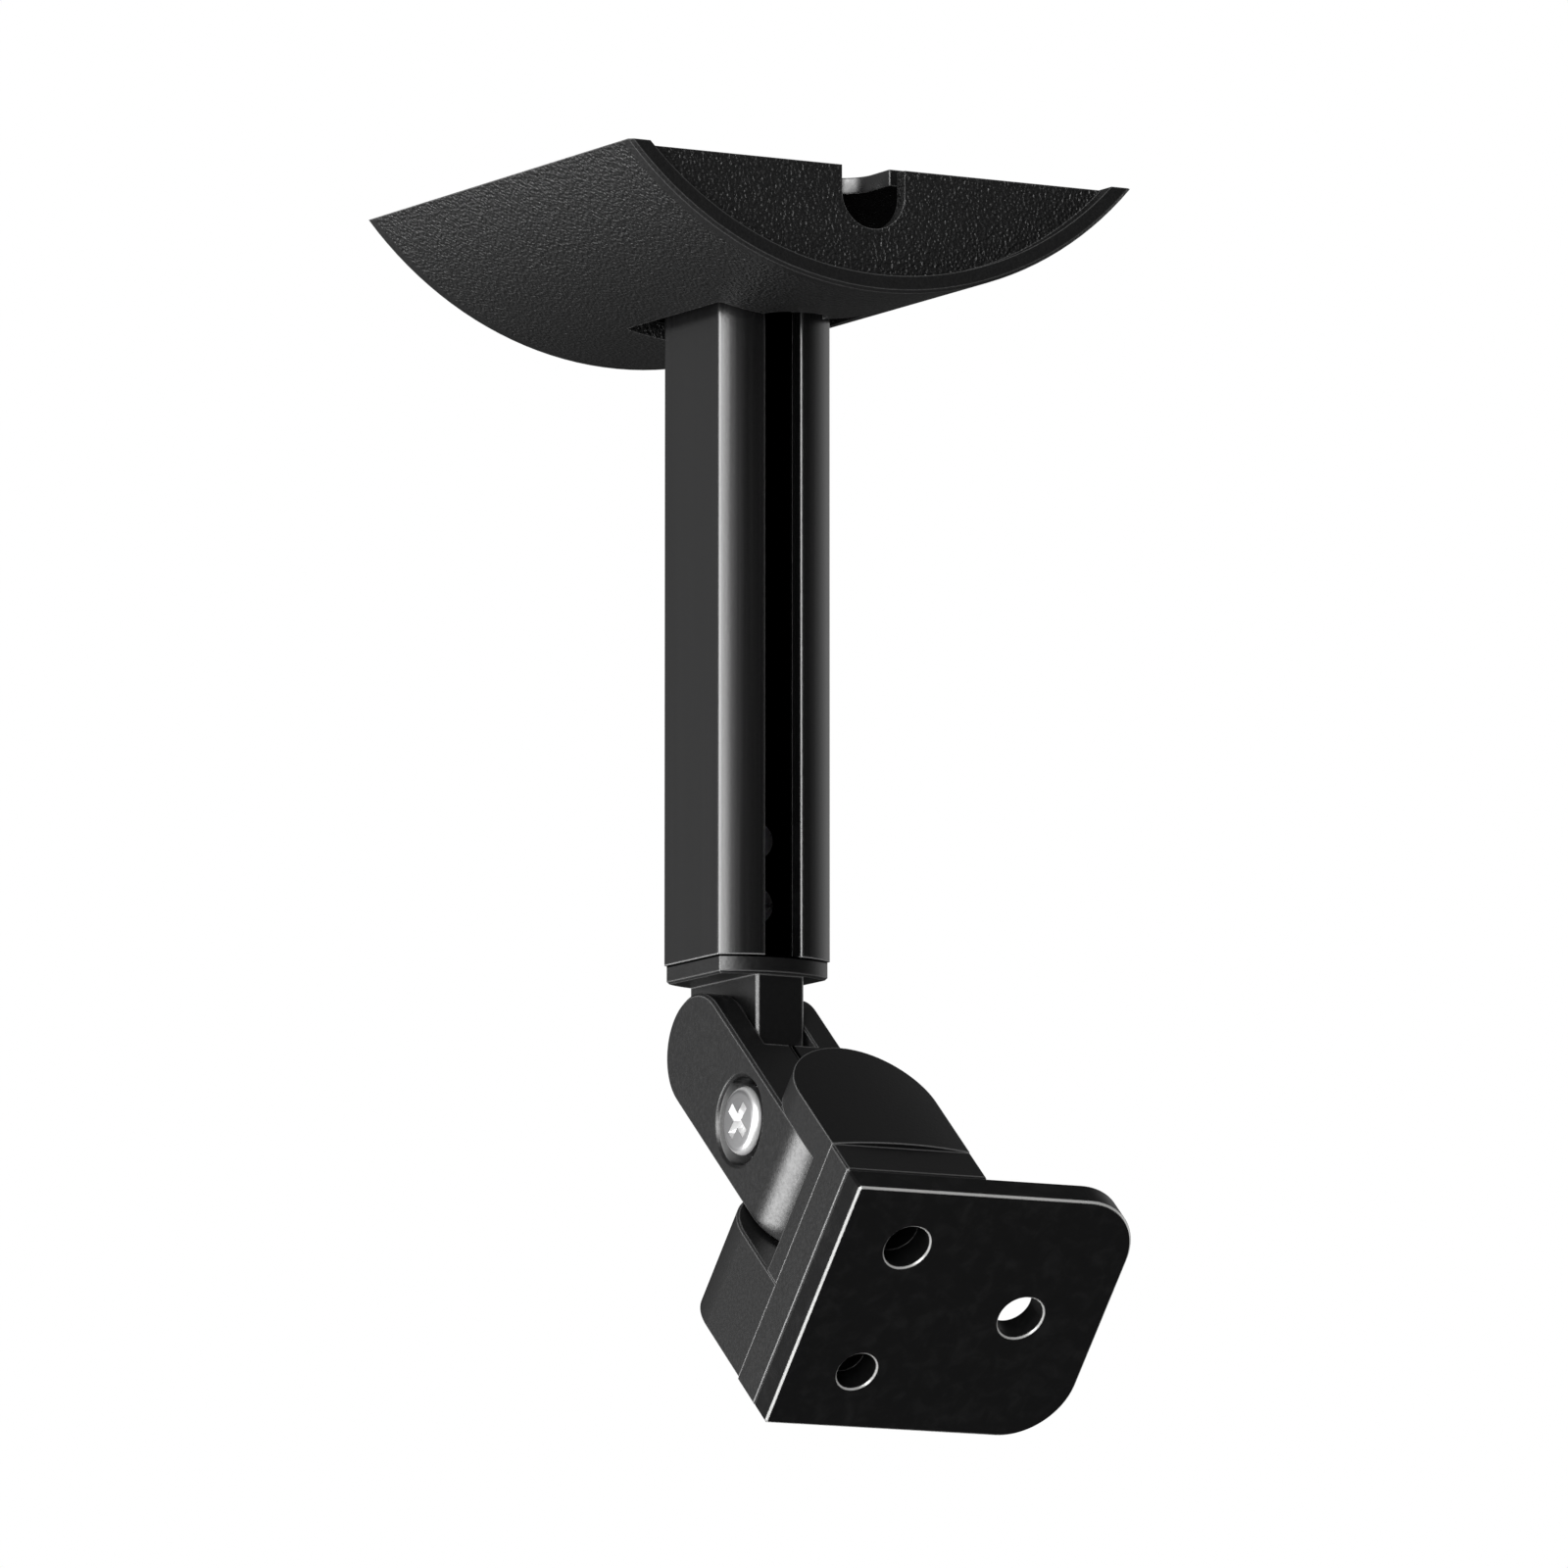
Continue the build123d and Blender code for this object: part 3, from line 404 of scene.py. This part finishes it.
CROWN_ROUGHNESS, RECESS_ROUGHNESS = 0.4, 0.3
TURNING_SCALE = 5200.0
TURNING_DEPTH = 0.000015
TURNING_STRENGTH = 0.6
RECESS_EDGE = 0.002625
CROWN_FACE_X = -0.00752
RIM_FOOT_X = -0.0066
RIM_FROM, RIM_TO = 0.0036, 0.0039


def crown_height(x, y):
    """Height of the screw's domed crown over its seat, in millimetres."""
    return CROWN_TOP - (x * x + y * y) / (2 * CROWN_RADIUS)


def cross_outline(scale, height=None):
    """Corners of a cross, counterclockwise, at a height of their own or else on the crown."""
    reach, half = RECESS_REACH * scale, RECESS_HALF_WIDTH * scale
    corners = []
    for turn in range(4):
        for x, y in ((reach, -half), (reach, half), (half, half)):
            for quarter in range(turn):
                x, y = -y, x
            corners.append((x, y, crown_height(x, y) if height is None else height))
    return corners


def closed_loop(mesh, corners):
    """Edges through the corners, back to the first."""
    verts = [mesh.verts.new(corner) for corner in corners]
    return [mesh.edges.new((verts[i - 1], verts[i])) for i in range(len(verts))]


screw = bmesh.new()
top_cross = closed_loop(screw, cross_outline(1.0))
low_cross = closed_loop(screw, cross_outline(RECESS_TAPER, CROWN_TOP - RECESS_DEPTH))
bmesh.ops.contextual_create(screw, geom=low_cross)
bmesh.ops.bridge_loops(screw, edges=top_cross + low_cross)
recess_faces = set(screw.faces)
radius, height = HEAD_PROFILE[0]
ring = bmesh.ops.create_circle(screw, segments=HEAD_SEGMENTS, radius=radius)["verts"]
bmesh.ops.translate(screw, verts=ring, vec=(0, 0, height))
loop = list({edge for vert in ring for edge in vert.link_edges})
bmesh.ops.bridge_loops(screw, edges=top_cross + loop)
for next_radius, next_height in HEAD_PROFILE[1:]:
    turned = bmesh.ops.extrude_edge_only(screw, edges=loop)["geom"]
    ring = [item for item in turned if isinstance(item, bmesh.types.BMVert)]
    loop = [item for item in turned if isinstance(item, bmesh.types.BMEdge)]
    bmesh.ops.scale(screw, verts=ring, vec=(next_radius / radius, next_radius / radius, 1))
    bmesh.ops.translate(screw, verts=ring, vec=(0, 0, next_height - height))
    radius, height = next_radius, next_height
bmesh.ops.contextual_create(screw, geom=loop)
bmesh.ops.recalc_face_normals(screw, faces=screw.faces)
into_place = (TILTED @ Matrix.Translation(CLAMP_SEAT) @ Matrix.Rotation(TO_THE_LEFT, 4, "Y")
              @ Matrix.Rotation(CLAMP_TURN, 4, "Z") @ Matrix.Scale(MILLIMETRE, 4))
bmesh.ops.transform(screw, matrix=into_place, verts=screw.verts)
for face in screw.faces:
    face.smooth = face not in recess_faces
for edge in screw.edges:
    edge.smooth = edge.is_manifold and edge.calc_face_angle() < SHARP_TURN
screw_mesh = bpy.data.meshes.new("clamp_screw_pan_head")
screw.to_mesh(screw_mesh)
screw.free()
clamp_screw = bpy.data.objects.new("clamp_screw_pan_head", screw_mesh)
bpy.context.scene.collection.objects.link(clamp_screw)

turned_zinc, tree, shader = new_material("turned_zinc", SCREW_CROWN, metallic=1.0)
place = place_of(tree)
from_axis = length_of(tree, off_line(tree, place, CLAMP_MIDDLE, ACROSS_CLAMP))
rings = add(tree, "TexNoise", {"noise_dimensions": "1D"}, W=from_axis, Scale=TURNING_SCALE)
turned = bump(tree, rings.outputs["Fac"], TURNING_DEPTH, TURNING_STRENGTH)
tree.links.new(turned, shader.inputs["Normal"])
along = add(tree, "SeparateXYZ", Vector=place).outputs["X"]
near_axis = calculate(tree, "LESS_THAN", from_axis, RECESS_EDGE)
sunk = calculate(tree, "GREATER_THAN", along, CROWN_FACE_X)
in_recess = calculate(tree, "MULTIPLY", near_axis, sunk)
above_foot = calculate(tree, "LESS_THAN", along, RIM_FOOT_X)
on_rim = between(tree, from_axis, RIM_FROM, RIM_TO, 0.0, above_foot)
# The rim and the recess are painted a lighter, less metallic colour: partly a burnished and punched
# finish, partly painted highlight.
bright = calculate(tree, "MAXIMUM", in_recess, on_rim)
colour = mix_colour(tree, bright, SCREW_CROWN, SCREW_BRIGHT)
tree.links.new(colour, shader.inputs["Base Color"])
roughness = between(tree, in_recess, 0.0, 1.0, CROWN_ROUGHNESS, RECESS_ROUGHNESS)
tree.links.new(roughness, shader.inputs["Roughness"])
metal = between(tree, bright, 0.0, 1.0, CROWN_METAL, BRIGHT_METAL)
tree.links.new(metal, shader.inputs["Metallic"])
screw_mesh.materials.append(turned_zinc)
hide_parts("clamp_screw")
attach(clamp_screw, "knuckle")
wear(zinc, ["clamp_washer", "clamp_nut"])


# Speaker plate and its screws: metal plate, powder coated black, with its edges cut bright. Two
# countersunk screws hold it to the yoke's flange and are reached between the yoke's arms.
PLATE_BLACK = (0.006, 0.006, 0.0062)
PLATE_HANDLED = (0.011, 0.011, 0.0112)
PLATE_CUT = (0.72, 0.72, 0.71)
PLATE_SMOOTH, PLATE_DULL = 0.3, 0.42
PLATE_EDGE_RADIUS = 0.0002
PLATE_PEEL_SCALE = 1500.0
PLATE_PEEL_DEPTH = 0.00003
PLATE_PEEL_STRENGTH = 0.3
PLATE_FACING = Matrix.Rotation(TILT_ANGLE, 3, "X") @ Vector((0.0, 0.0, -1.0))
CUT_LEAN = math.cos(math.radians(45.0))
CUT_CLEAR, CUT_GONE = 0.06, 0.14
CUT_METAL = 0.5
SMUDGE_SCALE = 420.0
SMUDGE_STARTS, SMUDGE_FULL = 0.48, 0.72
SMUDGE_LOW, SMUDGE_HIGH = 0.35, 0.7

speaker_plate_finish, tree, shader = new_material("speaker_plate_finish", PLATE_BLACK, specular=0.15)
place = place_of(tree)
peel = noise(tree, place, PLATE_PEEL_SCALE)
soft = rounded(tree, PLATE_EDGE_RADIUS)
painted = bump(tree, peel, PLATE_PEEL_DEPTH, PLATE_PEEL_STRENGTH, soft)
tree.links.new(painted, shader.inputs["Normal"])
to_object = {"vector_type": "NORMAL", "convert_from": "WORLD", "convert_to": "OBJECT"}
outward = add(tree, "VectorTransform", to_object, Vector=soft).outputs["Vector"]
lean = add(tree, "VectorMath", {"operation": "DOT_PRODUCT"}, _0=outward, _1=PLATE_FACING)
off_cut = calculate(tree, "SUBTRACT", lean.outputs["Value"], CUT_LEAN)
off_cut = calculate(tree, "ABSOLUTE", off_cut)
cut = between(tree, off_cut, CUT_CLEAR, CUT_GONE, 1.0, 0.0)
smudge = noise(tree, place, SMUDGE_SCALE, detail=5.0, roughness=0.65, distortion=0.6)
touched = between(tree, smudge, SMUDGE_STARTS, SMUDGE_FULL, 0.0, 1.0)
handled = mix_colour(tree, touched, PLATE_BLACK, PLATE_HANDLED)
tree.links.new(mix_colour(tree, cut, handled, PLATE_CUT), shader.inputs["Base Color"])
roughness = between(tree, smudge, SMUDGE_LOW, SMUDGE_HIGH, PLATE_SMOOTH, PLATE_DULL)
tree.links.new(roughness, shader.inputs["Roughness"])
tree.links.new(between(tree, cut, 0.0, 1.0, 0.0, CUT_METAL), shader.inputs["Metallic"])
wear(speaker_plate_finish, ["speaker_plate"])
wear(zinc, ["plate_screw_left", "plate_screw_right"])


# Studio floor: a pale square a metre below the bracket. It is clear from its underside, so
# that a view from below shows the bracket.
FLOOR_Z = -1.0
FLOOR_SIZE = 3.0
FLOOR_COLOUR = (0.8, 0.8, 0.8)
FLOOR_MIRRORED = (0.15, 0.15, 0.15)

grid = bmesh.new()
bmesh.ops.create_grid(grid, x_segments=1, y_segments=1, size=FLOOR_SIZE / 2)
bmesh.ops.translate(grid, verts=grid.verts, vec=(0, 0, FLOOR_Z))
floor_mesh = bpy.data.meshes.new("studio_floor")
grid.to_mesh(floor_mesh)
grid.free()
floor = bpy.data.objects.new("studio_floor", floor_mesh)
bpy.context.scene.collection.objects.link(floor)
floor_paint, tree, shader = new_material("floor_paint", FLOOR_COLOUR, roughness=0.9, specular=0.1)
path = tree.nodes.new("ShaderNodeLightPath")
seen = mix_colour(tree, path.outputs["Is Glossy Ray"], FLOOR_COLOUR, FLOOR_MIRRORED)
tree.links.new(seen, shader.inputs["Base Color"])
underside = tree.nodes.new("ShaderNodeNewGeometry").outputs["Backfacing"]
clear = tree.nodes.new("ShaderNodeBsdfTransparent").outputs[0]
one_sided = add(tree, "MixShader", _0=underside, _1=shader.outputs[0], _2=clear).outputs[0]
tree.links.new(one_sided, tree.nodes["Material Output"].inputs["Surface"])
floor_mesh.materials.append(floor_paint)


# Studio surround: white behind the bracket, plain grey as a light, and dark with soft glows
# where the finishes mirror it. A glow has its direction, the cosines of its edge and of its
# full part, its fall between them and its strength.
WHITE = (1.0, 1.0, 1.0)
SURROUND_GREY = 0.45
ROOM_DARK = 0.015
LEFT_GLOW = ((-0.89, 0.35, -0.2), -0.15, 0.9, 1.3, 0.29)
RIGHT_GLOW = ((0.95, 0.3, 0.14), 0.72, 1.0, 2.0, 0.95)
CEILING_GLOW = ((0.0, 0.0, 1.0), 0.2, 0.8, 1.0, 0.05)
EDGE_GLOW = ((-0.9, -0.4, 0.14), 0.905, 0.985, 1.0, 7.0)

world = bpy.data.worlds.new("studio_surround")
bpy.context.scene.world = world
world.use_nodes = True
tree = world.node_tree
tree.nodes.clear()
path = tree.nodes.new("ShaderNodeLightPath")
direction = tree.nodes.new("ShaderNodeTexCoord").outputs["Generated"]
mirrored = ROOM_DARK
for middle, edge, full, fall, strength in (LEFT_GLOW, RIGHT_GLOW, CEILING_GLOW, EDGE_GLOW):
    facing = add(tree, "VectorMath", {"operation": "DOT_PRODUCT"}, _0=direction, _1=middle)
    part = between(tree, facing.outputs["Value"], edge, full, 0.0, 1.0)
    fade = calculate(tree, "POWER", part, fall)
    mirrored = calculate(tree, "MULTIPLY_ADD", fade, strength, mirrored)
glossy = add(tree, "Background", Color=WHITE, Strength=mirrored).outputs[0]
diffuse = add(tree, "Background", Color=WHITE, Strength=SURROUND_GREY).outputs[0]
white = add(tree, "Background", Color=WHITE, Strength=1.0).outputs[0]
lit = add(tree, "MixShader", _0=path.outputs["Is Glossy Ray"], _1=diffuse, _2=glossy).outputs[0]
seen_through = calculate(tree, "MAXIMUM", path.outputs["Is Camera Ray"],
                         path.outputs["Is Transmission Ray"])
around = add(tree, "MixShader", _0=seen_through, _1=lit, _2=white).outputs[0]
add(tree, "OutputWorld", Surface=around)


# Camera and soft panels: the camera is below the bracket and looks slightly up at it, through
# a long lens. One panel lights the front from the left, the other the left side from below.
CAMERA_PLACE = Vector((-0.98477, -1.72659, -0.34957))
CAMERA_AIM = Vector((0.003385, -0.003195, -0.072709))
LENS = 375.9
SENSOR = 36.0
PANELS = {"left_panel": ((-1.1, -1.14, 0.15), (0.5, 1.3), 8.0),
          "low_left_panel": ((-1.25, 0.50, -0.52), (0.8, 0.95), 8.8)}

for name, (stand, size, radiance) in PANELS.items():
    lamp = bpy.data.lights.new(name, "AREA")
    lamp.shape = "RECTANGLE"
    lamp.size, lamp.size_y = size
    lamp.energy = radiance * math.pi * size[0] * size[1]
    panel = bpy.data.objects.new(name, lamp)
    bpy.context.scene.collection.objects.link(panel)
    panel.location = stand
    panel.rotation_euler = (CAMERA_AIM - Vector(stand)).to_track_quat("-Z", "Y").to_euler()

camera_data = bpy.data.cameras.new("photo_camera")
camera_data.lens = LENS
camera_data.sensor_width = SENSOR
camera = bpy.data.objects.new("photo_camera", camera_data)
bpy.context.scene.collection.objects.link(camera)
camera.location = CAMERA_PLACE
camera.rotation_euler = (CAMERA_AIM - CAMERA_PLACE).to_track_quat("-Z", "Y").to_euler()
bpy.context.scene.camera = camera
bpy.context.scene.view_settings.view_transform = "Standard"
